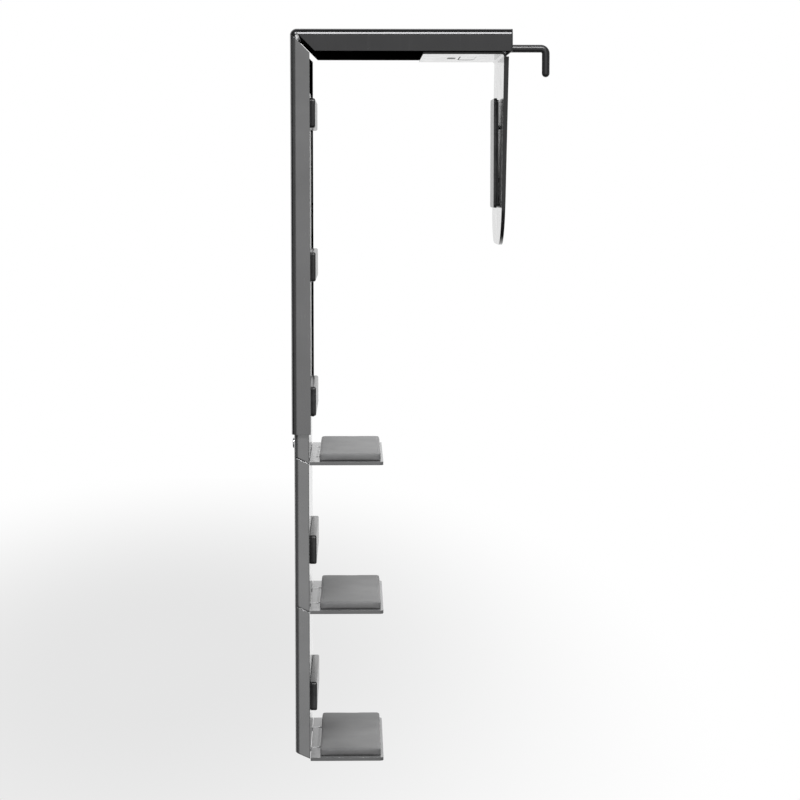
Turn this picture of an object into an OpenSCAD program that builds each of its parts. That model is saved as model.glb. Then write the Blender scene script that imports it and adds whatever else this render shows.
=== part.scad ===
// Over-the-edge valet stand: a channel hooks over an edge, a clamp slides up behind it,
// and a telescoping mast below carries three folding padded trays and five rubber bumpers.
// X runs from the post out to the hook, Y across the width, Z up.
// The origin is where the edge sits: the bumpers' faces, mid-width, under the clamp plate.

/* [Hook channel] */
// Width of the hook channel
channel_w = 220; // [200:2:240]
// Sheet thickness of the channels
wall = 2.5; // [2:0.1:3]
// Radius of the channels' long outer edges
edge_r = 8; // [6:0.5:10]
// Depth of the upright post channel
post_d = 23.4; // [21:0.2:24.4]
// Depth of the level arm channel
arm_d = 26.4; // [25:0.2:32]
// Reach of the arm from the supporting face
arm_reach = 233.8; // [228:1:260]
// Drop of the post below the supporting edge
post_drop = 456; // [446:1:470]

/* [Mast and trays] */
// Thickness of the mast's sheet
mast_wall = 2.5; // [2:0.1:2.8]
// Height of the first tray's top, below the supporting edge
tray_drop = 489.5; // [485:0.5:500]
// Vertical distance from tray to tray
tray_pitch = 182.4; // [170:1:200]
// Reach of the trays from the supporting face
tray_reach = 81; // [70:1:95]
// Thickness of a tray's soft pad
tray_pad_t = 9.5; // [5:0.5:10]

/* [Bumpers] */
// Height of a rubber bumper
bumper_h = 35.6; // [25:1:40]
// Width of a rubber bumper
bumper_w = 171; // [150:1:176]

/* [Clamp] */
// Width of the clamp bracket
clamp_w = 193; // [180:1:200]
// Drop of the clamp leg below the supporting edge
clamp_drop = 229; // [200:1:260]
// Lean of the clamp leg towards the post, in degrees
clamp_lean = 0.66; // [0:0.05:1]
// Height of the clamp pad
clamp_pad_h = 134; // [100:1:150]
// Width of the clamp pad
clamp_pad_w = 72; // [60:1:120]

/* [Hook] */
// Diameter of the hook's rod
hook_d = 9.7; // [8:0.1:11]
// Distance from the supporting face to the middle of the hook's drop
hook_x = 283.6; // [270:1:300]

/* [Hidden] */

$fn = 48;
eps = 0.01;

// fits and screws
snug = 0.02;
free_fit = 0.05;
m4_clear = 2.05;
m5_clear = 2.52;
hex_r = 1.7;
cap_head_r = 4.5;
cap_head_t = 1.5;
hook_nut_r = 9.2;
hook_nut_t = 5.4;
big = 400;

metal = "#2c2d30";
rubber = "#232323";
pad_grey = "#4a4a4c";
zinc = "#b9bcc0";
chrome = "#dfe2e6";
nylon = "#1c1c1e";

// hook channel
plate_t = 3;
arm_base = plate_t + 0.1;
arm_top = arm_base + arm_d;
post_x = -30;
bend_r = edge_r;
mitre_sum = -1.5;
mitre_gap = 6;

// mast
mast_w = channel_w - 2 * wall - 2;
mast_x = post_x + wall + 0.5;
mast_in = mast_x + mast_wall;
mast_edge = -9;
mast_d = mast_edge - mast_x;
mast_top = -42;
mast_r = 6;
seam = 0.8;
cut_rise = 7;
cut_slope = 0.45;
tab_w = 44;
tab_drop = 9.5;

function tray_z(i) = -tray_drop - (i - 1) * tray_pitch;

// guide studs and their slots, for a mast that travels from +14 to -150
stud_z = [-225, -440];
stud_r = 4;
slot_r = stud_r + 0.1;
mast_up = 14;
mast_down = 150;
nut_r = 7.5;
washer_r = 10;
washer_t = 1.5;
nut_t = 5;

// lock button
button_z = -478;
button_r = 7;
button_out = 4.5;
flange_r = 9;
flange_t = 1.5;
cup_r = 10.4;
cup_end = -16;

// tray hinges
hinge_x = 0;
tray_rear = -8.5;
tray_t = 4;
ear_in = 50.5;
ear_t = 4;
ear_r = 2.5;
barrel_r = 2.2;
pin_r = 1.2;
foot_in = 25;
foot_t = 2;
lip_from = 3.6;
lip_to = 12;
lip_t = 2;

// mast covers
cover_t = 2.5;
cover_back = mast_edge - cover_t;
cover_w = mast_w - 2 * mast_wall - 0.1;
cover_return = 8;

// bumpers
bumper_mid = 71.5;
bumper_z = [-69.7, -254.5, tray_z(1) + bumper_mid, tray_z(2) + bumper_mid, tray_z(3) + bumper_mid];
bumper_gap = 0.05;
bumper_screw_y = 60;

// clamp
leg_x = 225.6;
leg_t = 3;
rim_top = 6;
rim_low = 4.2;
rim_w = 2.5;
plate_x = 129;
bend_in = 3;
weld = 0.3;
corner_r = 55;
grip_x = 185.75;
grip_w = 20.5;
grip_l = 88;
key_x = 166.5;
key_w = 10;
key_l = 33;
pad_x = 217;
pad_plate_t = 1.7;
pad_mid_z = -117;
pad_screw_z = [-85, -149];

// slide in the arm
rail_w = 44;
rail_z = 13;
lip_z = 16;
rail_roof = 24;
rail_from = 22;
rail_to = 226;
slot_w = 20;
rail_screw_x = [40, 100, 160, 215];
shoe_from = 135;
shoe_to = 174;
shoe_screw_x = [142, 154];
lug_x = 179.5;
lug_z = 6.2;
lug_r = 2.6;
paddle_pin_r = 1.5;

// hook
hook_z = 11.9;
hook_bend = 6.2;
hook_low = -23.2;

// ---- shared shapes ----

// A bar across the width, round about a Y axis through (x, z)
module y_bar(x, z, r, y0, y1) {
  translate([x, y0, z]) rotate([-90, 0, 0]) cylinder(r = r, h = y1 - y0);
}

// A bar along X from x0 to x1
module x_bar(x0, x1, y, z, r) {
  translate([x0, y, z]) rotate([0, 90, 0]) cylinder(r = r, h = x1 - x0);
}

module block(x0, x1, y0, y1, z0, z1) {
  translate([x0, y0, z0]) cube([x1 - x0, y1 - y0, z1 - z0]);
}

// A block on both sides of the middle plane
module block_pair(x0, x1, y0, y1, z0, z1) {
  block(x0, x1, y0, y1, z0, z1);
  block(x0, x1, -y1, -y0, z0, z1);
}

// An outline in X and Z, extruded across the width from y0 to y1
module y_plate(points, y0, y1) {
  translate([0, y1, 0]) rotate([90, 0, 0]) linear_extrude(y1 - y0) polygon(points);
}

// Flat rectangle with round corners
module round_rect(w, h, r) {
  square([w - 2 * r, h], center = true);
  square([w, h - 2 * r], center = true);
  for (sx = [-1, 1], sy = [-1, 1])
    translate([sx * (w / 2 - r), sy * (h / 2 - r)]) circle(r);
}

// Outline of a channel seen end-on: flat back on top, round shoulders, straight sides
module shoulders(w, d, r) {
  translate([-w / 2, -d]) square([w, d - r]);
  translate([-w / 2 + r, -d]) square([w - 2 * r, d]);
  for (s = [-1, 1]) translate([s * (w / 2 - r), -r]) circle(r);
}

module channel_outline(w, d, t, r) {
  difference() {
    shoulders(w, d, r);
    translate([0, -t]) shoulders(w - 2 * t, d, r - t);
  }
}

// Channel standing upright, open towards +X, its back at x and its top at z1
module upright_channel(x, w, d, t, r, z0, z1) {
  translate([x, 0, z0]) rotate([0, 0, 90]) linear_extrude(z1 - z0) channel_outline(w, d, t, r);
}

// Everything on one side of the mitre between the post's and the arm's flanges
module mitre_cut(side) {
  for (s = [-1, 1])
    translate([0, s * (channel_w / 2 + 1), mitre_sum]) rotate([0, -45, 0])
      translate([side * (mitre_gap - big) / 2, 0, 0])
        cube([big, 2 * (edge_r + 1.1), big], center = true);
}

// ---- hook channel ----

module arm_channel() {
  color(metal) difference() {
    translate([post_x + bend_r, 0, arm_top]) rotate([90, 0, 90])
      linear_extrude(arm_reach - post_x - bend_r) channel_outline(channel_w, arm_d, wall, edge_r);
    mitre_cut(1);
    for (x = rail_screw_x) translate([x, 0, 0]) cylinder(r = m5_clear, h = big);
  }
}

module post_channel() {
  color(metal) difference() {
    upright_channel(post_x, channel_w, post_d, wall, edge_r, -post_drop, arm_top - bend_r);
    mitre_cut(-1);
    for (z = stud_z) x_bar(post_x - 1, mast_x, 0, z, stud_r + snug);
  }
}

// Quarter bend that carries the channel's back round the corner
module corner_bend() {
  color(metal) translate([post_x + bend_r, 0, arm_top - bend_r]) rotate([90, 0, 0])
    rotate([0, 0, 90]) rotate_extrude(angle = 90) rotate([0, 0, -90]) intersection() {
      translate([0, bend_r]) channel_outline(channel_w, bend_r + wall, wall, edge_r);
      translate([-channel_w / 2, 0]) square([channel_w, bend_r]);
    }
}

module end_cap() {
  lid = 1.4;
  plug = 7;
  color(nylon) difference() {
    union() {
      translate([arm_reach, 0, arm_top]) rotate([90, 0, 90]) linear_extrude(lid)
        shoulders(channel_w, arm_d, edge_r);
      translate([arm_reach - plug, 0, arm_top - wall - 0.05]) rotate([90, 0, 90])
        linear_extrude(plug) difference() {
          shoulders(channel_w - 2 * wall - 0.1, arm_d - wall - 1, edge_r - wall);
          translate([0, -2]) shoulders(channel_w - 2 * wall - 4, arm_d, edge_r - wall - 2);
        }
    }
    x_bar(arm_reach - 1, arm_reach + 5, 0, hook_z, hook_d / 2 + snug);
  }
}

module hook_rod() {
  r = hook_d / 2;
  bend_x = hook_x - hook_bend;
  bend_z = hook_z - hook_bend;
  color(metal) {
    x_bar(arm_reach - 9, bend_x, 0, hook_z, r);
    translate([bend_x, 0, bend_z]) rotate([90, 0, 0]) rotate_extrude(angle = 90)
      translate([hook_bend, 0]) circle(r);
    translate([hook_x, 0, hook_low + r]) cylinder(r = r, h = bend_z - hook_low - r);
    translate([hook_x, 0, hook_low + r]) sphere(r);
  }
}

module hook_nut() {
  color(zinc) translate([arm_reach - hook_nut_t - 0.1, 0, hook_z]) rotate([0, 90, 0]) difference() {
    cylinder(r = hook_nut_r, h = hook_nut_t, $fn = 6);
    translate([0, 0, -1]) cylinder(r = hook_d / 2 + snug, h = 8);
  }
}

// ---- slide in the arm ----

module slide_rail() {
  roof = arm_top - wall;
  color(zinc) difference() {
    block(rail_from, rail_to, -rail_w / 2, rail_w / 2, rail_z, roof);
    block(rail_from - 1, rail_to + 1, -rail_w / 2 + 3, rail_w / 2 - 3, lip_z, rail_roof);
    block(rail_from - 1, rail_to + 1, -slot_w / 2, slot_w / 2, rail_z - 1, lip_z + 1);
    for (x = rail_screw_x) translate([x, 0, rail_roof - 1]) cylinder(r = m5_clear, h = 10);
  }
}

module rail_screws() {
  color(zinc) for (x = rail_screw_x) {
    translate([x, 0, rail_roof + 0.1]) cylinder(r = 2.5, h = arm_top - rail_roof);
    translate([x, 0, arm_top]) difference() {
      cylinder(r = cap_head_r, h = cap_head_t);
      translate([0, 0, 0.5]) cylinder(r = hex_r, h = 2, $fn = 6);
    }
  }
}

module slide_shoe() {
  half = slot_w / 2 - 0.2;
  color(nylon) difference() {
    union() {
      block(shoe_from, shoe_to, -rail_w / 2 + 3.2, rail_w / 2 - 3.2, lip_z + 0.1, rail_roof - 0.2);
      block(shoe_from, shoe_to, -half, half, plate_t, lip_z + 0.1);
      translate([key_x, 0, 0.15]) linear_extrude(plate_t) rotate(90) round_rect(key_l, key_w, 3);
      block(shoe_to - eps, lug_x, -half, half, lug_z - lug_r, lug_z + lug_r);
      y_bar(lug_x, lug_z, lug_r, -half, half);
    }
    for (x = shoe_screw_x) {
      translate([x, 0, 0]) cylinder(r = m4_clear, h = 30);
      translate([x, 0, 17.9]) cylinder(r = 4, h = 10);
    }
    y_bar(lug_x, lug_z, paddle_pin_r + snug, -20, 20);
  }
}

module shoe_screws() {
  color(zinc) for (x = shoe_screw_x) {
    translate([x, 0, 0.5]) cylinder(r = 2, h = 17.5);
    translate([x, 0, 18]) difference() {
      cylinder(r = 3.6, h = 4);
      translate([0, 0, 2]) cylinder(r = hex_r, h = 3, $fn = 6);
    }
  }
}

module paddle_pin() {
  color(zinc) y_bar(lug_x, lug_z, paddle_pin_r, -13.8, 19);
}

// Close-wound torsion spring beside the paddle's ear
module paddle_spring() {
  wire_r = 0.5;
  color(zinc) for (k = [0:4])
    translate([lug_x, 13.9 + k * 0.95, lug_z]) rotate([90, 0, 0])
      rotate_extrude($fn = 32) translate([paddle_pin_r + 0.1 + wire_r, 0]) circle(wire_r, $fn = 16);
}

module release_paddle() {
  left = lug_x - 2.5;
  right = left + 18.8;
  mid = (left + right) / 2;
  color(metal) difference() {
    union() {
      translate([mid, 0, 0.2]) linear_extrude(2.5) rotate(90) round_rect(86, right - left, 9.3);
      block_pair(lug_x - 2, lug_x + 2, 10.1, 13, 1, lug_z);
      for (s = [-1, 1]) y_bar(lug_x, lug_z, 2.6, s * 11.55 - 1.45, s * 11.55 + 1.45);
      block_pair(188.2, 191.4, 11, 18, 1, rail_z - 0.1);
    }
    y_bar(lug_x, lug_z, paddle_pin_r + free_fit, -20, 20);
  }
}

// ---- mast guidance ----

module guide_studs() {
  color(zinc) for (z = stud_z) {
    x_bar(post_x, mast_in + 0.1 + washer_t + nut_t, 0, z, stud_r);
    difference() {
      x_bar(post_x - 1.4, post_x, 0, z, 8);
      translate([post_x - 2, 0, z]) rotate([0, 90, 0]) cylinder(r = 2.5, h = 1.2, $fn = 6);
    }
  }
}

module guide_nuts() {
  color(zinc) for (z = stud_z)
    translate([mast_in + 0.1 + washer_t, 0, z]) rotate([0, 90, 0]) difference() {
      cylinder(r = nut_r, h = nut_t - 0.5, $fn = 6);
      translate([0, 0, -1]) cylinder(r = stud_r + snug, h = nut_t + 2);
    }
}

module guide_washers() {
  color(nylon) for (z = stud_z)
    translate([mast_in + 0.08, 0, z]) rotate([0, 90, 0]) difference() {
      cylinder(r = washer_r, h = washer_t);
      translate([0, 0, -1]) cylinder(r = stud_r + snug, h = washer_t + 2);
    }
}

// Thin slippery strips between the post's flanges and the mast's
module post_glides() {
  side = channel_w / 2 - wall;
  color(nylon) for (z = stud_z)
    block_pair(mast_x + mast_r, mast_edge - 2, mast_w / 2 + free_fit, side, z - 16, z + 16);
}

// ---- mast ----

// Everything below a slanted cut whose height at the mast's back is z
module below_cut(z) {
  y_plate([
    [mast_x - 5, z + 5 * cut_slope], [mast_edge + 5, z - (mast_d + 5) * cut_slope],
    [mast_edge + 5, z - big], [mast_x - 5, z - big]
  ], -channel_w, channel_w);
}

module above_cut(z) {
  y_plate([
    [mast_x - 5, z + 5 * cut_slope], [mast_edge + 5, z - (mast_d + 5) * cut_slope],
    [mast_edge + 5, z + 2 * big], [mast_x - 5, z + 2 * big]
  ], -channel_w, channel_w);
}

module mast_segment(z_low, z_high) {
  upright_channel(mast_x, mast_w, mast_d, mast_wall, mast_r, z_low, z_high);
}

// A long hole in the mast's back for one guide stud
module stud_slot(z) {
  x_bar(mast_x - 1, mast_in + 1, 0, z - mast_up, slot_r);
  x_bar(mast_x - 1, mast_in + 1, 0, z + mast_down, slot_r);
  block(mast_x - 1, mast_in + 1, -slot_r, slot_r, z - mast_up, z + mast_down);
}

module mast_upper() {
  cut = tray_z(1) + cut_rise;
  color(metal) difference() {
    union() {
      difference() {
        mast_segment(cut - 20, mast_top);
        below_cut(cut);
      }
      block(mast_x, mast_in, -tab_w / 2, tab_w / 2, cut - tab_drop, cut + 5);
    }
    for (z = stud_z) stud_slot(z);
    x_bar(mast_x - 1, mast_in + 1, 0, button_z, button_r + free_fit);
  }
}

module mast_middle() {
  top = tray_z(1) + cut_rise;
  cut = tray_z(2) + cut_rise;
  color(metal) difference() {
    mast_segment(cut - 20, top);
    above_cut(top - seam);
    below_cut(cut);
    block(mast_x - 1, mast_in + 1, -tab_w / 2 - seam, tab_w / 2 + seam, top - tab_drop - seam, top + 5);
  }
}

module mast_lower() {
  top = tray_z(2) + cut_rise;
  color(metal) difference() {
    mast_segment(tray_z(3) - 15, top);
    above_cut(top - seam);
    below_cut(tray_z(3) + cut_rise);
  }
}

// Shallow tray-shaped cover that closes the mast's open side from z_low to z_high
module mast_cover(z_low, z_high, screws) {
  half = cover_w / 2;
  color(metal) difference() {
    union() {
      block(cover_back, mast_edge, -half, half, z_low, z_high);
      block_pair(cover_back - cover_return, cover_back + eps, half - cover_t, half, z_low, z_high);
    }
    for (i = [1:3]) block_pair(cover_back - 20, mast_edge + 1, ear_in - 1, ear_in + ear_t + 1,
                               hinge_z(i) - 8, hinge_z(i) + 8);
    for (k = screws, s = [-1, 1])
      x_bar(cover_back - 1, mast_edge + 1, s * bumper_screw_y, bumper_z[k - 1], m4_clear);
  }
}

module mast_cover_upper() { mast_cover(hinge_z(1) + seam / 2, mast_top, [1, 2, 3]); }
module mast_cover_middle() { mast_cover(hinge_z(2) + seam / 2, hinge_z(1) - seam / 2, [4]); }
module mast_cover_lower() {
  color(metal) difference() {
    mast_cover(hinge_z(3) - 2, hinge_z(2) - seam / 2, [5]);
    below_cut(tray_z(3) + cut_rise);
  }
}

// ---- tray hinges ----

function hinge_z(i) = tray_z(i) - tray_t / 2;

// Bracket on the mast's back: two feet, two ears that hold the pin, and a lip under the tray
module hinge_bracket(i, splice) {
  z = hinge_z(i);
  foot = mast_in + foot_t;
  low = splice ? z - 45 : z + 9;
  under = z - tray_t / 2 - 0.1;
  flush = z + tray_t / 2;
  ear = [[foot - eps, z + 30], [foot + 3, z + 30], [foot + 5, z + 4], [mast_edge, flush],
         [hinge_x, flush], [hinge_x, under], [lip_to, under], [lip_to, under - lip_t],
         [hinge_x, under - lip_t], [cover_back - 3, under], [foot - eps, splice ? z - 6 : z + 8]];
  color(zinc) difference() {
    union() {
      block_pair(mast_in, foot, foot_in, ear_in + ear_t, low, z + 45);
      for (s = [-1, 1]) {
        mid = s * (ear_in + ear_t / 2);
        y_plate(ear, mid - ear_t / 2, mid + ear_t / 2);
        y_bar(hinge_x, z, ear_r, mid - ear_t / 2, mid + ear_t / 2);
      }
      block(lip_from, lip_to, -ear_in - eps, ear_in + eps, under - lip_t, under);
    }
    y_bar(hinge_x, z, pin_r + snug, -60, 60);
    for (y = [-35, 35], dz = splice ? [36, -36] : [36]) x_bar(mast_in - 1, foot + 1, y, z + dz, m4_clear);
  }
}
module hinge_bracket_1() { hinge_bracket(1, true); }
module hinge_bracket_2() { hinge_bracket(2, true); }
module hinge_bracket_3() { hinge_bracket(3, false); }

module foot_screw(y, z) {
  seat = mast_in + foot_t;
  x_bar(mast_in, seat + 0.1, y, z, 2);
  difference() {
    x_bar(seat, seat + 2, y, z, 3.8);
    translate([seat + 1, y, z]) rotate([0, 90, 0]) cylinder(r = 1.4, h = 2, $fn = 6);
  }
}

module bracket_screws() {
  color(zinc) {
    for (i = [1:3], y = [-35, 35]) foot_screw(y, hinge_z(i) + 36);
    for (i = [1:2], y = [-35, 35]) foot_screw(y, hinge_z(i) - 36);
  }
}

module tray_pin(i) {
  color(zinc) y_bar(hinge_x, hinge_z(i), pin_r, -61.5, 61.5);
}
module tray_pin_1() { tray_pin(1); }
module tray_pin_2() { tray_pin(2); }
module tray_pin_3() { tray_pin(3); }

// ---- trays ----

// Tray plate with round outer corners and the hinge barrel along its rear edge
module tray(i) {
  z = tray_z(i);
  r = 5;
  half = mast_w / 2 - 0.5;
  color(metal) difference() {
    union() {
      block(tray_rear, tray_reach - r, -half, half, z - tray_t, z);
      block(tray_reach - r - eps, tray_reach, -half + r, half - r, z - tray_t, z);
      for (s = [-1, 1]) translate([tray_reach - r, s * (half - r), z - tray_t]) cylinder(r = r, h = tray_t);
      y_bar(hinge_x, hinge_z(i), barrel_r, -62, 62);
    }
    block_pair(tray_rear - 1, hinge_x + ear_r + 0.4, ear_in - 0.4, ear_in + ear_t + 0.4, z - 10, z + 10);
    y_bar(hinge_x, hinge_z(i), pin_r + free_fit, -63, 63);
  }
}
module tray_1() { tray(1); }
module tray_2() { tray(2); }
module tray_3() { tray(3); }

module tray_pad(i) {
  x0 = 3.2;
  x1 = tray_reach - 3;
  color(pad_grey) translate([(x0 + x1) / 2, 0, tray_z(i) + free_fit])
    linear_extrude(tray_pad_t) round_rect(x1 - x0, 196, 4);
}
module tray_pad_1() { tray_pad(1); }
module tray_pad_2() { tray_pad(2); }
module tray_pad_3() { tray_pad(3); }

// ---- bumpers ----

module bumper(k) {
  color(rubber) difference() {
    translate([mast_edge + bumper_gap, 0, bumper_z[k - 1]]) rotate([90, 0, 90])
      linear_extrude(-mast_edge - bumper_gap) round_rect(bumper_w, bumper_h, 3);
    for (s = [-1, 1]) x_bar(mast_edge - 1, mast_edge + 5, s * bumper_screw_y, bumper_z[k - 1], m4_clear);
  }
}
module bumper_1() { bumper(1); }
module bumper_2() { bumper(2); }
module bumper_3() { bumper(3); }
module bumper_4() { bumper(4); }
module bumper_5() { bumper(5); }

// Screws from inside the covers into the bumpers
module bumper_screws() {
  color(zinc) for (z = bumper_z, s = [-1, 1]) {
    x_bar(cover_back - 0.1, mast_edge + 4.5, s * bumper_screw_y, z, 2);
    difference() {
      x_bar(cover_back - 2.2, cover_back, s * bumper_screw_y, z, 3.8);
      translate([cover_back - 2.4, s * bumper_screw_y, z]) rotate([0, 90, 0])
        cylinder(r = 1.4, h = 1.4, $fn = 6);
    }
  }
}

// ---- lock button ----

module button_cup() {
  color(zinc) translate([mast_in, 0, button_z]) rotate([0, 90, 0]) difference() {
    cylinder(r = cup_r, h = cup_end - mast_in);
    translate([0, 0, -1]) cylinder(r = flange_r + 0.2, h = cup_end - mast_in - 0.2);
  }
}

// Coil spring, drawn at its pressed length so that the button can travel over it
module button_spring() {
  wire_r = 0.6;
  color(zinc) for (k = [0:4])
    translate([cup_end - 1.2 - wire_r - 0.05 - k * 1.15, 0, button_z]) rotate([0, 90, 0])
      rotate_extrude($fn = 32) translate([4.2, 0]) circle(wire_r, $fn = 16);
}

module lock_button() {
  top = mast_in - mast_x + button_out;
  edge = 1;
  color(chrome) translate([mast_in + 0.1 + flange_t, 0, button_z]) rotate([0, -90, 0]) difference() {
    union() {
      cylinder(r = flange_r, h = flange_t);
      cylinder(r = button_r, h = top + flange_t - edge);
      rotate_extrude() union() {
        square([button_r - edge, top + flange_t]);
        translate([button_r - edge, top + flange_t - edge]) circle(edge);
      }
    }
    translate([0, 0, -1]) cylinder(r = 5.2, h = 7);
  }
}

// ---- clamp ----

module clamp_plate_outline() {
  square_w = leg_x - bend_in - plate_x;
  translate([plate_x, -clamp_w / 2]) square([square_w, clamp_w]);
}

// Outline of the leg in its own plane: straight sides and broad round lower corners
module leg_outline(inset) {
  half = clamp_w / 2 - inset;
  r = corner_r - inset;
  low = -clamp_drop + inset;
  translate([-half, low + r]) square([2 * half, -bend_in + weld - low - r]);
  translate([-half + r, low]) square([2 * (half - r), r + eps]);
  for (s = [-1, 1]) translate([s * (half - r), low + r]) circle(r, $fn = 96);
}

module clamp_bracket() {
  rim_slope = atan((rim_top - rim_low) / clamp_drop);
  color(metal) difference() {
    union() {
      linear_extrude(plate_t) clamp_plate_outline();
      intersection() {
        difference() {
          y_bar(leg_x - bend_in, -bend_in, bend_in + plate_t, -clamp_w / 2, clamp_w / 2);
          y_bar(leg_x - bend_in, -bend_in, bend_in, -clamp_w, clamp_w);
        }
        block(leg_x - bend_in, leg_x + 10, -clamp_w, clamp_w, -bend_in, 10);
      }
      translate([leg_x, 0, -bend_in]) rotate([0, clamp_lean, 0]) translate([0, 0, bend_in]) difference() {
        rotate([90, 0, 90]) linear_extrude(rim_top) leg_outline(0);
        translate([leg_t, 0, 0]) rotate([90, 0, 90]) linear_extrude(rim_top) leg_outline(rim_w);
        translate([rim_top, -clamp_w, 0]) rotate([0, rim_slope, 0]) translate([0, 0, -big])
          cube([20, 2 * clamp_w, 2 * big]);
        block(leg_t, 20, -clamp_w / 2 + rim_w, clamp_w / 2 - rim_w, -30, 5);
      }
    }
    translate([grip_x, 0, -1]) linear_extrude(plate_t + 2) rotate(90)
      round_rect(grip_l, grip_w, grip_w / 2 - eps);
    translate([key_x, 0, -1]) linear_extrude(plate_t + 2) rotate(90)
      round_rect(key_l + 0.2, key_w + 0.2, 3.1);
    for (x = shoe_screw_x) translate([x, 0, 0.4]) cylinder(r = m4_clear, h = 10);
    for (z = pad_screw_z) x_bar(leg_x - 10, leg_x + 10, 0, z, 2.55);
  }
}

module clamp_pad_plate() {
  color(metal) difference() {
    translate([pad_x + 4.6, 0, pad_mid_z]) rotate([90, 0, 90]) linear_extrude(pad_plate_t)
      round_rect(clamp_pad_w - 4, clamp_pad_h - 4, 3);
    for (z = pad_screw_z) x_bar(pad_x, leg_x, 0, z, m5_clear);
  }
}

module clamp_pad() {
  color(rubber) translate([pad_x, 0, pad_mid_z]) rotate([90, 0, 90]) linear_extrude(4.5)
    round_rect(clamp_pad_w, clamp_pad_h, 4);
}

// Screws through the leg into the pad's backing plate, with a tapered collar between them
module clamp_pad_screws() {
  color(zinc) for (z = pad_screw_z) {
    x_bar(pad_x + 4.65, leg_x + leg_t + 1, 0, z, 2.5);
    difference() {
      x_bar(leg_x + leg_t - 0.4, leg_x + leg_t + 2.4, 0, z, 4.6);
      translate([leg_x + leg_t + 1.2, 0, z]) rotate([0, 90, 0]) cylinder(r = hex_r, h = 2, $fn = 6);
    }
  }
}

arm_channel();
post_channel();
corner_bend();
end_cap();
hook_rod();
hook_nut();
slide_rail();
rail_screws();
guide_studs();
guide_nuts();
guide_washers();
post_glides();
mast_upper();
mast_middle();
mast_lower();
mast_cover_upper();
mast_cover_middle();
mast_cover_lower();
hinge_bracket_1();
hinge_bracket_2();
hinge_bracket_3();
bracket_screws();
tray_pin_1();
tray_pin_2();
tray_pin_3();
bumper_1();
bumper_2();
bumper_3();
bumper_4();
bumper_5();
bumper_screws();
button_cup();
button_spring();
lock_button();
tray_1();
tray_2();
tray_3();
tray_pad_1();
tray_pad_2();
tray_pad_3();
clamp_bracket();
clamp_pad_plate();
clamp_pad();
clamp_pad_screws();
slide_shoe();
shoe_screws();
paddle_pin();
paddle_spring();
release_paddle();
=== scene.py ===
"""Looks of the over-the-edge valet stand: studio, materials and soft pieces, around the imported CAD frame."""

import math

import bmesh
import bpy
from mathutils import Matrix, Vector


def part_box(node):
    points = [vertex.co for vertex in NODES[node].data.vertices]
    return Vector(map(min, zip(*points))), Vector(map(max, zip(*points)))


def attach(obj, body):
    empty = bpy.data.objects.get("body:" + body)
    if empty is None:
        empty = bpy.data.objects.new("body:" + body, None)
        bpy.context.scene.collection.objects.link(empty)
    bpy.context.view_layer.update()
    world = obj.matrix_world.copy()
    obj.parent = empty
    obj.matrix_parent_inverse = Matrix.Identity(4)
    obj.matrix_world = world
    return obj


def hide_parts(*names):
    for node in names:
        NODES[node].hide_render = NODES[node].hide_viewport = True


# ---- camera ----
FOCAL_MM = 103.5
SENSOR_MM = 36.0
CAM_AT = Vector((0.0472, -2.870, -0.1498))
CAM_PITCH = math.radians(5.464)
CAM_YAW = math.radians(1.116)

# ---- stage ----
MM = 0.001
FLOOR_Z = -1.03
FLOOR_FAR = 3.9
FLOOR_HALF = (8, 5)
# painted shade on the floor round the object: its middle, its reach and how dark it gets
SHADE_MIDDLE = (-0.32, 1.35, FLOOR_Z)
SHADE_REACH = (0.97, 2.7, 1)
SHADE_DARKEST = 0.785
FRONT_LIGHT = 0.45
SIDE_LIGHT = 0.06
BEHIND_FADE = (0.2, 0.7)
FRONT_FADE = (-0.80, -0.95)


def make_camera():
    data = bpy.data.cameras.new("camera")
    data.lens = FOCAL_MM
    data.sensor_width = SENSOR_MM
    data.clip_start = 0.05
    data.clip_end = 60
    cam = bpy.data.objects.new("camera", data)
    bpy.context.scene.collection.objects.link(cam)
    ahead = Vector((math.sin(CAM_YAW) * math.cos(CAM_PITCH),
                    math.cos(CAM_YAW) * math.cos(CAM_PITCH), -math.sin(CAM_PITCH)))
    cam.location = CAM_AT
    cam.rotation_euler = ahead.to_track_quat("-Z", "Y").to_euler()
    bpy.context.scene.camera = cam


make_camera()
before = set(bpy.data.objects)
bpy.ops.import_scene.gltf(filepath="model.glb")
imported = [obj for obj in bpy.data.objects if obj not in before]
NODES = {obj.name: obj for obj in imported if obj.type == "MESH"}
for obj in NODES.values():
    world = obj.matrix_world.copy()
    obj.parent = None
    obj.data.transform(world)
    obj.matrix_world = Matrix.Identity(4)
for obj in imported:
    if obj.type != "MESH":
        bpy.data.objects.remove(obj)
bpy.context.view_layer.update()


# ---- node helpers ----

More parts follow.
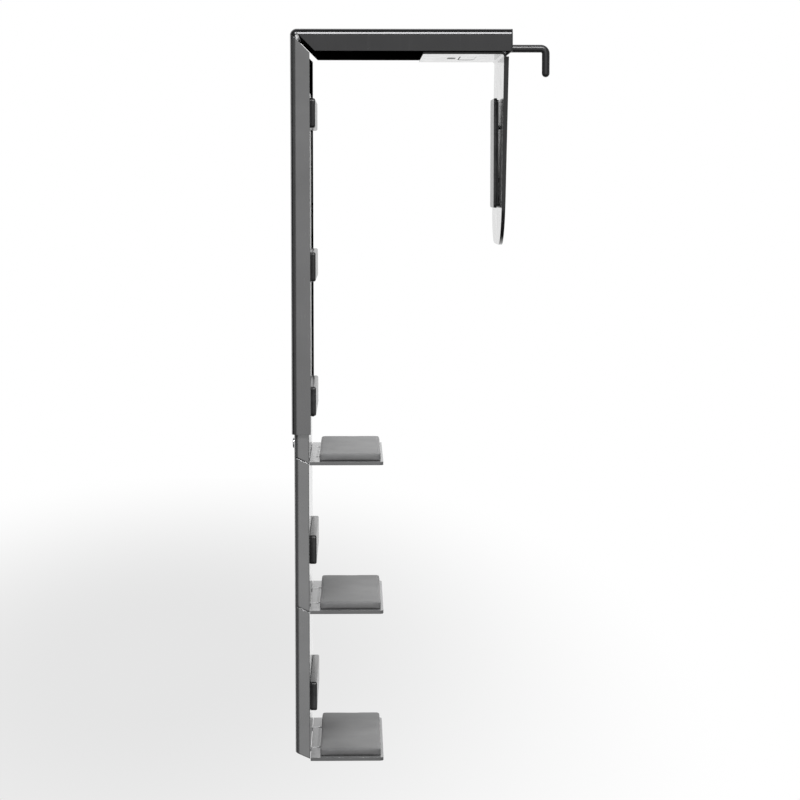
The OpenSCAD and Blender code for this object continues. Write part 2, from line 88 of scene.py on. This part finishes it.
class Shader:
    """A node material under construction: a Principled shader and the textures that feed it."""

    def __init__(self, name):
        self.mat = bpy.data.materials.new(name)
        self.mat.use_nodes = True
        self.tree = self.mat.node_tree
        self.tree.nodes.clear()
        self.out = self.tree.nodes.new("ShaderNodeOutputMaterial")
        self.bsdf = self.tree.nodes.new("ShaderNodeBsdfPrincipled")
        self.tree.links.new(self.bsdf.outputs[0], self.out.inputs[0])
        self.where = self.tree.nodes.new("ShaderNodeTexCoord").outputs["Object"]

    def put(self, **values):
        """Sets constants on the shader's own sockets."""
        for key, value in values.items():
            self.bsdf.inputs[key.replace("_", " ")].default_value = value

    def add(self, kind, links=(), **settings):
        made = self.tree.nodes.new("ShaderNode" + kind)
        for key, value in settings.items():
            if key[0].isupper():
                made.inputs[key.replace("_", " ")].default_value = value
            else:
                setattr(made, key, value)
        for socket, source in dict(links).items():
            self.tree.links.new(source, made.inputs[socket])
        return made

    def link(self, source, socket):
        self.tree.links.new(source, self.bsdf.inputs[socket])

    def stretched(self, scale):
        return self.add("Mapping", {"Vector": self.where}, Scale=scale).outputs[0]

    def noise(self, scale, detail=3.0, rough=0.55, where=None, distort=0.0):
        made = self.add("TexNoise", {"Vector": where or self.where},
                        Scale=scale, Detail=detail, Roughness=rough, Distortion=distort)
        return made.outputs["Fac"]

    def cells(self, scale, where=None):
        made = self.add("TexVoronoi", {"Vector": where or self.where}, Scale=scale)
        return made.outputs["Distance"]

    def math(self, op, a, b=None, c=None):
        made = self.tree.nodes.new("ShaderNodeMath")
        made.operation = op
        for slot, value in enumerate((a, b, c)):
            if value is None:
                continue
            if isinstance(value, (int, float)):
                made.inputs[slot].default_value = value
            else:
                self.tree.links.new(value, made.inputs[slot])
        return made.outputs[0]

    def span(self, source, lo, hi, to_lo, to_hi):
        """source from lo..hi spread over to_lo..to_hi, clamped."""
        return self.add("MapRange", {"Value": source}, From_Min=lo, From_Max=hi,
                        To_Min=to_lo, To_Max=to_hi).outputs[0]

    def blend(self, factor, a, b):
        made = self.add("Mix", data_type="RGBA")
        self.tree.links.new(factor, made.inputs["Factor"])
        for slot, value in ((6, a), (7, b)):
            if isinstance(value, tuple):
                made.inputs[slot].default_value = (*value, 1)
            else:
                self.tree.links.new(value, made.inputs[slot])
        return made.outputs[2]

    def bump(self, height, distance, strength=1.0, under=None):
        links = {"Height": height}
        if under is not None:
            links["Normal"] = under
        return self.add("Bump", links, Strength=strength, Distance=distance).outputs[0]

    def soft_edges(self, radius):
        return self.add("Bevel", samples=4, Radius=radius).outputs[0]

    def near_edge(self, rounded):
        """About 1 on a sharp edge, 0 on a flat face."""
        plain = self.add("NewGeometry").outputs["Normal"]
        dot = self.add("VectorMath", {0: rounded, 1: plain}, operation="DOT_PRODUCT").outputs["Value"]
        return self.span(dot, 0.995, 0.86, 0.0, 1.0)


GREY = (1.0, 1.0, 1.0)


def shade(tone, factor):
    return tuple(factor * c for c in tone)


def powder_coat(name, tone, worn, rough=0.2, metallic=0.0, edge_radius=0.5 * MM, lacquer=0.35):
    """Glossy powder-coated sheet: orange peel, faint mottling, rubbed edges and hairline scratches.
    metallic is the share of aluminium flake in the coat, lacquer the weight of the clear layer over it."""
    s = Shader(name)
    rounded = s.soft_edges(edge_radius)
    edge = s.near_edge(rounded)
    peel = s.noise(650, 2.0)
    mottle = s.noise(14, 4.0)
    patch = s.noise(55, 5.0, 0.65)
    scratch = s.noise(1.0, 3.0, 0.5, s.stretched((900, 70, 22)), 0.6)
    hair = s.span(scratch, 0.655, 0.70, 0.0, 1.0)
    base = s.blend(s.span(mottle, 0.3, 0.7, 0, 1), shade(tone, 0.93), shade(tone, 1.07))
    rubbed = s.math("MULTIPLY", edge, s.span(patch, 0.42, 0.62, 0.15, 0.9))
    tinted = s.blend(rubbed, base, worn)
    colour = s.blend(s.math("MULTIPLY", hair, 0.10), tinted, worn)
    polish = s.span(patch, 0.3, 0.7, rough - 0.035, rough + 0.045)
    gloss = s.math("ADD", polish, s.math("MULTIPLY", hair, 0.08))
    s.link(colour, "Base Color")
    s.link(gloss, "Roughness")
    s.link(s.bump(peel, 0.02 * MM, 0.18, rounded), "Normal")
    s.put(IOR=1.5, Metallic=metallic, Coat_Weight=lacquer, Coat_Roughness=0.06)
    return s.mat


def shade_in_channels(name):
    """Near-black painted shade inside the channels: a dull coat that barely reflects, with faint random
    streaks.
    """
    s = Shader(name)
    runs = s.noise(1.0, 4.0, 0.6, s.stretched((60, 60, 9)))
    grit = s.noise(1400, 3.0, 0.6)
    s.link(s.blend(s.span(runs, 0.45, 0.75, 0, 1), shade(GREY, 0.0008), shade(GREY, 0.0030)), "Base Color")
    s.link(s.span(grit, 0.3, 0.7, 0.8, 0.95), "Roughness")
    s.link(s.bump(grit, 0.03 * MM, 0.4), "Normal")
    s.put(Specular_IOR_Level=0.06)
    return s.mat


def bright_zinc(name, tone, rough):
    """Zinc-plated steel: fine grain from the rolling, cloudy passivation, a little tarnish in patches."""
    s = Shader(name)
    rounded = s.soft_edges(0.25 * MM)
    grain = s.noise(1.0, 4.0, 0.6, s.stretched((160, 1300, 160)))
    cloud = s.noise(70, 4.0, 0.6)
    spots = s.span(s.noise(260, 3.0), 0.62, 0.74, 0.0, 1.0)
    cool = s.blend(s.span(cloud, 0.35, 0.65, 0, 1), shade(tone, 0.86), tone)
    s.link(s.blend(s.math("MULTIPLY", spots, 0.35), cool, (0.30, 0.27, 0.22)), "Base Color")
    polish = s.span(cloud, 0.3, 0.7, rough - 0.07, rough + 0.08)
    s.link(s.math("ADD", polish, s.math("MULTIPLY", spots, 0.12)), "Roughness")
    s.link(s.bump(grain, 0.012 * MM, 0.4, rounded), "Normal")
    s.put(Metallic=1.0)
    return s.mat


def turned_chrome(name):
    """Polished plated button: faint turning rings about its axis, fingerprints that dull it."""
    s = Shader(name)
    low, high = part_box("lock_button")
    mid = (low + high) / 2
    shifted = s.add("Mapping", {"Vector": s.where}, Location=(0, -mid.y, -mid.z)).outputs[0]
    rings = s.add("TexWave", {"Vector": shifted}, wave_type="RINGS", rings_direction="X",
                  Scale=900.0, Distortion=0.4, Detail=1.0).outputs["Fac"]
    smudge = s.noise(420, 4.0, 0.6)
    s.link(s.blend(s.span(smudge, 0.35, 0.7, 0, 1), (0.86, 0.87, 0.88), (0.72, 0.73, 0.75)), "Base Color")
    s.link(s.span(smudge, 0.35, 0.7, 0.05, 0.2), "Roughness")
    s.link(s.bump(rings, 0.004 * MM, 0.25, s.soft_edges(0.2 * MM)), "Normal")
    s.put(Metallic=1.0)
    return s.mat


def moulded_plastic(name, tone):
    """Injection-moulded plastic with a fine spark-eroded grain and slightly polished high spots."""
    s = Shader(name)
    grain = s.noise(1900, 3.0, 0.6)
    cloud = s.noise(40, 3.0)
    s.link(s.blend(s.span(cloud, 0.3, 0.7, 0, 1), shade(tone, 0.85), shade(tone, 1.15)),
           "Base Color")
    s.link(s.span(grain, 0.3, 0.7, 0.38, 0.56), "Roughness")
    s.link(s.bump(grain, 0.03 * MM, 0.5, s.soft_edges(0.4 * MM)), "Normal")
    s.put(IOR=1.49)
    return s.mat


def matte_rubber(name, tone, bloom):
    """Moulded rubber: a dull skin with fine pits, pale bloom and dust that settles in patches."""
    s = Shader(name)
    pits = s.cells(1500)
    skin = s.noise(700, 3.0, 0.6)
    dust = s.span(s.noise(45, 5.0, 0.65), 0.45, 0.72, 0.0, 1.0)
    speck = s.span(s.noise(2600, 2.0), 0.64, 0.74, 0.0, 0.5)
    dusted = s.blend(s.math("MULTIPLY", dust, 0.35), tone, bloom)
    s.link(s.blend(speck, dusted, bloom), "Base Color")
    s.link(s.span(skin, 0.3, 0.7, 0.2, 0.32), "Roughness")
    fine = s.bump(skin, 0.03 * MM, 0.5)
    s.link(s.bump(s.span(pits, 0.0, 0.35, 0.0, 1.0), 0.02 * MM, 0.4, fine), "Normal")
    s.put(IOR=1.5, Specular_IOR_Level=0.6)
    return s.mat


def felt(name, tone, fibre):
    """Pressed felt over foam: crossing fibres, mottled dye, a faint nap and little pills."""
    s = Shader(name)
    along = s.noise(1.0, 3.0, 0.6, s.stretched((260, 1500, 900)), 1.5)
    across = s.noise(1.0, 3.0, 0.6, s.stretched((1500, 260, 900)), 1.5)
    weft = s.math("MAXIMUM", along, across)
    dye = s.noise(30, 4.0, 0.6)
    pills = s.span(s.noise(520, 2.0), 0.60, 0.72, 0.0, 1.0)
    mottled = s.blend(s.span(dye, 0.3, 0.7, 0, 1), shade(tone, 0.88), shade(tone, 1.1))
    s.link(s.blend(s.span(weft, 0.5, 0.78, 0.0, 0.55), mottled, fibre), "Base Color")
    s.link(s.span(weft, 0.4, 0.8, 0.72, 0.9), "Roughness")
    nap = s.bump(weft, 0.09 * MM, 0.6)
    s.link(s.bump(pills, 0.06 * MM, 0.35, nap), "Normal")
    s.put(IOR=1.45, Sheen_Weight=0.25, Sheen_Roughness=0.5)
    return s.mat


# ---- materials and what wears them ----
# The arm, post and mast wear one powder coat, painted in three tones. The arm's darker tone, and its darker
# worn-edge colour, is painted shade. The post's and mast's lighter tones are painted light. Each tone follows
# how the light falls on that part.
ARM_SHADED_TONE = (0.078, 0.078, 0.080)
POST_LIT_TONE = (0.28, 0.28, 0.283)
MAST_LIT_TONE = (0.37, 0.371, 0.374)
TRAY_TONE = (0.205, 0.206, 0.208)
CLAMP_TONE = (0.020, 0.020, 0.0205)
WORN = (0.42, 0.42, 0.43)

# painted shade in the arm's coat, painted light in the post's and mast's coats
shaded_arm_coat = powder_coat("coat_arm_painted_shade", ARM_SHADED_TONE, (0.20, 0.20, 0.205), 0.16, 0.8)
lit_post_coat = powder_coat("coat_post_painted_light", POST_LIT_TONE, WORN, 0.2, 0.8)
lit_mast_coat = powder_coat("coat_mast_painted_light", MAST_LIT_TONE, WORN, 0.2, 0.8, 1.8 * MM)
tray_coat = powder_coat("coat_tray", TRAY_TONE, (0.30, 0.30, 0.31), 0.2, lacquer=0.0)
clamp_coat = powder_coat("coat_clamp", CLAMP_TONE, (0.12, 0.12, 0.12), 0.14)
rod_coat = powder_coat("coat_rod", (0.03, 0.03, 0.031), (0.2, 0.2, 0.2), 0.25)
# near-black painted shade for the channels' insides
channel_shade = shade_in_channels("painted_shade_inside")
zinc = bright_zinc("zinc_plate", (0.62, 0.63, 0.65), 0.34)
dark_zinc = bright_zinc("spring_steel", (0.42, 0.43, 0.45), 0.3)
button_plate = turned_chrome("button_plating")
plastic = moulded_plastic("black_nylon", (0.012, 0.012, 0.013))
rubber = matte_rubber("bumper_rubber", (0.035, 0.035, 0.036), (0.16, 0.16, 0.165))
pad_felt = felt("tray_felt", (0.21, 0.21, 0.212), (0.33, 0.33, 0.335))

WEARS = {
    "arm_channel": shaded_arm_coat, "corner_bend": shaded_arm_coat, "post_channel": lit_post_coat,
    "end_cap": plastic, "hook_rod": rod_coat, "hook_nut": zinc, "slide_rail": zinc,
    "rail_screws": zinc, "guide_studs": zinc, "guide_nuts": zinc, "guide_washers": plastic,
    "post_glides": plastic, "bracket_screws": zinc, "bumper_screws": zinc,
    "button_cup": zinc, "button_spring": dark_zinc, "lock_button": button_plate,
    "clamp_bracket": clamp_coat, "clamp_pad_plate": clamp_coat, "clamp_pad_screws": zinc,
    "slide_shoe": plastic, "shoe_screws": zinc, "paddle_pin": zinc, "paddle_spring": dark_zinc,
    "release_paddle": clamp_coat,
}
for part in ("upper", "middle", "lower"):
    WEARS["mast_" + part] = lit_mast_coat
    WEARS["mast_cover_" + part] = lit_mast_coat
for i in (1, 2, 3):
    WEARS[f"tray_{i}"] = tray_coat
    WEARS[f"hinge_bracket_{i}"] = lit_mast_coat
    WEARS[f"tray_pin_{i}"] = zinc

for name, obj in NODES.items():
    if name in WEARS:
        obj.data.materials.clear()
        obj.data.materials.append(WEARS[name])


SHEET = 1.9 * MM


def paint_channel_shade(node, axis, skin, toward):
    """Gives a channel's inner faces, its rims and its mitre cut the near-black painted shade. skin is where
    along axis its web ends, and toward is 1 or -1 for the way the channel opens."""
    low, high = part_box(node)
    data = NODES[node].data
    data.materials.append(channel_shade)
    for face in data.polygons:
        inner = abs(face.center.y) < high.y - SHEET and (face.center[axis] - skin) * toward > 0
        mitred = abs(face.normal.x) > 0.3 and abs(face.normal.z) > 0.3
        rim = face.normal[axis] * toward > 0.9 and (face.center[axis] - skin) * toward > 0
        face.material_index = int(inner or mitred or rim)


# painted shade inside the arm and the post, on their rims and on the mitre cuts
paint_channel_shade("arm_channel", 2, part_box("arm_channel")[1].z - SHEET, -1)
paint_channel_shade("post_channel", 0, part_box("post_channel")[0].x + SHEET, 1)


# ---- soft pieces ----

def add_mesh(name, bm, material):
    data = bpy.data.meshes.new(name)
    bmesh.ops.recalc_face_normals(bm, faces=bm.faces)
    bm.to_mesh(data)
    bm.free()
    obj = bpy.data.objects.new(name, data)
    bpy.context.scene.collection.objects.link(obj)
    data.materials.append(material)
    for p in data.polygons:
        p.use_smooth = True
    return obj


def rounded_ring(w, h, r, steps):
    """Closed outline of a rectangle with round corners, as (a, b) points."""
    points = []
    for k, (sx, sy) in enumerate(((1, 1), (-1, 1), (-1, -1), (1, -1))):
        cx, cy = sx * (w / 2 - r), sy * (h / 2 - r)
        for j in range(steps + 1):
            a = math.radians(90 * (k + j / steps))
            points.append((cx + r * math.cos(a), cy + r * math.sin(a)))
    return points


TOP_RINGS = 9


def slab(w, h, t, r, edge, crown, place, steps=6, rings=5):
    """Soft-edged slab: w by h, t thick, corner radius r, its upper edge rounded by edge and its top crowned.
    place(a, b, c) puts a point, c being the height above the slab's flat back."""
    bm = bmesh.new()
    levels = [(0.35 * edge, 0.0), (0.0, 0.35 * edge)]
    levels += [(edge * (1 - math.cos(math.radians(90 * k / rings))),
                t - crown - edge * (1 - math.sin(math.radians(90 * k / rings)))) for k in range(rings + 1)]
    loops = []
    for inset, height in levels:
        ring = rounded_ring(w - 2 * inset, h - 2 * inset, max(r - inset, 0.1 * r), steps)
        loops.append([bm.verts.new(place(a, b, height)) for a, b in ring])
    for k in range(1, TOP_RINGS):
        shrink = 1 - k / TOP_RINGS
        rise = t - crown * (shrink ** 2.5)
        inset = levels[-1][0]
        ring = rounded_ring(w - 2 * inset, h - 2 * inset, max(r - inset, 0.1 * r), steps)
        loops.append([bm.verts.new(place(a * shrink, b * shrink, rise)) for a, b in ring])
    for lower, upper in zip(loops, loops[1:]):
        n = len(lower)
        for j in range(n):
            bm.faces.new((lower[j], lower[(j + 1) % n], upper[(j + 1) % n], upper[j]))
    bm.faces.new(loops[-1])
    bm.faces.new(list(reversed(loops[0])))
    return bm


def centre_size(node):
    low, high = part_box(node)
    return (low + high) / 2, high - low


# bumpers: rubber bars with rounded faces, on the mast's cover
BUMPER_CORNER = 4 * MM
BUMPER_EDGE = 2.2 * MM
BUMPER_CROWN = 0.5 * MM
for k in range(1, 6):
    node = f"bumper_{k}"
    mid, size = centre_size(node)
    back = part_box(node)[0].x
    bm = slab(size.y, size.z, size.x, BUMPER_CORNER, BUMPER_EDGE, BUMPER_CROWN,
              lambda a, b, c: (back + c, mid.y + a, mid.z + b))
    bar = add_mesh(f"rubber_bumper_{k}", bm, rubber)
    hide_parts(node)
    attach(bar, "mast")

# clamp pad: rubber face towards the post
GRIP_CORNER = 5 * MM
GRIP_EDGE = 1.4 * MM
GRIP_CROWN = 0.35 * MM
mid, size = centre_size("clamp_pad")
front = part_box("clamp_pad")[1].x
bm = slab(size.y, size.z, size.x, GRIP_CORNER, GRIP_EDGE, GRIP_CROWN,
          lambda a, b, c: (front - c, mid.y + a, mid.z + b))
grip = add_mesh("rubber_clamp_pad", bm, rubber)
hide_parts("clamp_pad")
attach(grip, "clamp")


# tray pads: foam slabs in felt, swelled a little as cloth
SWELL = 0.3 * MM
PAD_CORNER = 4 * MM
PAD_EDGE = 0.7 * MM
PAD_CROWN = 0.1 * MM
VOXEL = 1.4 * MM
PRESSURE = 4
CLOTH_FRAMES = 20


def apply_all(obj):
    graph = bpy.context.evaluated_depsgraph_get()
    done = bpy.data.meshes.new_from_object(obj.evaluated_get(graph))
    obj.modifiers.clear()
    obj.data = done


def swelled(obj, cap):
    """The slab as stuffed cloth: remeshed, blown up by Cloth, no point moved by more than cap."""
    remesh = obj.modifiers.new("remesh", "REMESH")
    remesh.mode = "VOXEL"
    remesh.voxel_size = VOXEL
    apply_all(obj)
    rest = [v.co.copy() for v in obj.data.vertices]
    cloth = obj.modifiers.new("cloth", "CLOTH")
    cloth.settings.quality = 4
    cloth.settings.use_pressure = True
    cloth.settings.uniform_pressure_force = PRESSURE
    cloth.settings.effector_weights.gravity = 0
    cloth.point_cache.frame_start = 1
    cloth.point_cache.frame_end = CLOTH_FRAMES
    scene = bpy.context.scene
    for f in range(1, CLOTH_FRAMES + 1):
        scene.frame_set(f)
    graph = bpy.context.evaluated_depsgraph_get()
    moved = [v.co.copy() for v in obj.evaluated_get(graph).data.vertices]
    obj.modifiers.clear()
    scene.frame_set(1)
    for v, old, new in zip(obj.data.vertices, rest, moved):
        step = new - old
        if step.length > cap:
            step *= cap / step.length
        v.co = old + step
    smooth = obj.modifiers.new("smooth", "SMOOTH")
    smooth.factor = 0.5
    smooth.iterations = 1
    apply_all(obj)
    for p in obj.data.polygons:
        p.use_smooth = True


mid, size = centre_size("tray_pad_1")
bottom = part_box("tray_pad_1")[0].z
shrunk = Vector((size.x - 2 * SWELL, size.y - 2 * SWELL, size.z - 1.3 * SWELL))
bm = slab(shrunk.x, shrunk.y, shrunk.z, PAD_CORNER, PAD_EDGE, PAD_CROWN,
          lambda a, b, c: (mid.x + a, mid.y + b, bottom + c))
master = add_mesh("felt_pad_1", bm, pad_felt)
swelled(master, SWELL)
floor_of_pad = bottom + 0.02 * MM
for v in master.data.vertices:
    v.co.z = min(max(v.co.z, floor_of_pad), bottom + size.z)
for i in (1, 2, 3):
    pad = master
    if i > 1:
        pad = bpy.data.objects.new(f"felt_pad_{i}", master.data.copy())
        bpy.context.scene.collection.objects.link(pad)
        pad.data.transform(Matrix.Translation((0, 0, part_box(f"tray_pad_{i}")[0].z - bottom)))
    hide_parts(f"tray_pad_{i}")
    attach(pad, f"tray_{i}")


# ---- floor, world and lights ----

def make_floor():
    """Pale glowing floor with painted shade round the object, that lights nothing and isn't mirrored in the
    coats.
    """
    bm = bmesh.new()
    bmesh.ops.create_grid(bm, x_segments=1, y_segments=1, size=1)
    data = bpy.data.meshes.new("floor")
    bm.to_mesh(data)
    bm.free()
    floor = bpy.data.objects.new("floor", data)
    bpy.context.scene.collection.objects.link(floor)
    floor.scale = (*FLOOR_HALF, 1)
    floor.location = (0, FLOOR_FAR - FLOOR_HALF[1], FLOOR_Z)
    floor.visible_diffuse = False
    floor.visible_glossy = False
    mat = bpy.data.materials.new("floor")
    mat.use_nodes = True
    tree = mat.node_tree
    tree.nodes.clear()
    new = tree.nodes.new
    out = new("ShaderNodeOutputMaterial")
    spot = new("ShaderNodeNewGeometry").outputs["Position"]
    shift = new("ShaderNodeMapping")
    shift.vector_type = "TEXTURE"
    shift.inputs["Location"].default_value = SHADE_MIDDLE
    shift.inputs["Scale"].default_value = SHADE_REACH
    length = new("ShaderNodeVectorMath")
    length.operation = "LENGTH"
    ramp = new("ShaderNodeMapRange")
    ramp.interpolation_type = "SMOOTHSTEP"
    for key, value in (("From Min", 0.15), ("From Max", 1.05), ("To Min", SHADE_DARKEST), ("To Max", 1.0)):
        ramp.inputs[key].default_value = value
    glow = new("ShaderNodeEmission")
    tree.links.new(spot, shift.inputs["Vector"])
    tree.links.new(shift.outputs[0], length.inputs[0])
    tree.links.new(length.outputs["Value"], ramp.inputs["Value"])
    tree.links.new(ramp.outputs[0], glow.inputs["Strength"])
    tree.links.new(glow.outputs[0], out.inputs[0])
    data.materials.append(mat)


def make_world():
    """White behind the object, grey on the camera's side and dark to the left, right, above and below."""
    world = bpy.data.worlds.new("studio")
    bpy.context.scene.world = world
    world.use_nodes = True
    tree = world.node_tree
    tree.nodes.clear()
    new = tree.nodes.new

    def ramp(source, lo, hi, top):
        made = new("ShaderNodeMapRange")
        made.interpolation_type = "SMOOTHSTEP"
        for key, value in (("From Min", lo), ("From Max", hi), ("To Min", 0.0), ("To Max", top)):
            made.inputs[key].default_value = value
        tree.links.new(source, made.inputs["Value"])
        return made.outputs[0]

    def total(a, b):
        made = new("ShaderNodeMath")
        for slot, value in enumerate((a, b)):
            if isinstance(value, float):
                made.inputs[slot].default_value = value
            else:
                tree.links.new(value, made.inputs[slot])
        return made.outputs[0]

    split = new("ShaderNodeSeparateXYZ")
    tree.links.new(new("ShaderNodeTexCoord").outputs["Generated"], split.inputs[0])
    depth = split.outputs["Y"]
    behind = ramp(depth, *BEHIND_FADE, 1.0)
    front = ramp(depth, *FRONT_FADE, FRONT_LIGHT)
    lit = new("ShaderNodeBackground")
    seen = new("ShaderNodeBackground")
    for shader in (lit, seen):
        shader.inputs["Color"].default_value = (1, 1, 1, 1)
    tree.links.new(total(total(behind, front), SIDE_LIGHT), lit.inputs["Strength"])
    which = new("ShaderNodeMixShader")
    tree.links.new(new("ShaderNodeLightPath").outputs["Is Camera Ray"], which.inputs[0])
    tree.links.new(lit.outputs[0], which.inputs[1])
    tree.links.new(seen.outputs[0], which.inputs[2])
    tree.links.new(which.outputs[0], new("ShaderNodeOutputWorld").inputs[0])


def softbox(name, at, aim, size, power):
    data = bpy.data.lights.new(name, "AREA")
    data.shape = "RECTANGLE"
    data.size, data.size_y = size
    data.energy = power
    lamp = bpy.data.objects.new(name, data)
    bpy.context.scene.collection.objects.link(lamp)
    lamp.location = at
    lamp.rotation_euler = (Vector(aim) - Vector(at)).to_track_quat("-Z", "Y").to_euler()
    return lamp


make_floor()
make_world()
softbox("key", at=(0.1, -1.65, 1.42), aim=(0.05, 0, -0.2), size=(2.2, 0.75), power=58)
overhead = softbox("top", at=(0.5, 0.9, 1.5), aim=(0.05, 0, -0.6), size=(1.2, 0.6), power=22)
overhead.visible_glossy = False
bpy.context.scene.view_settings.view_transform = "Standard"
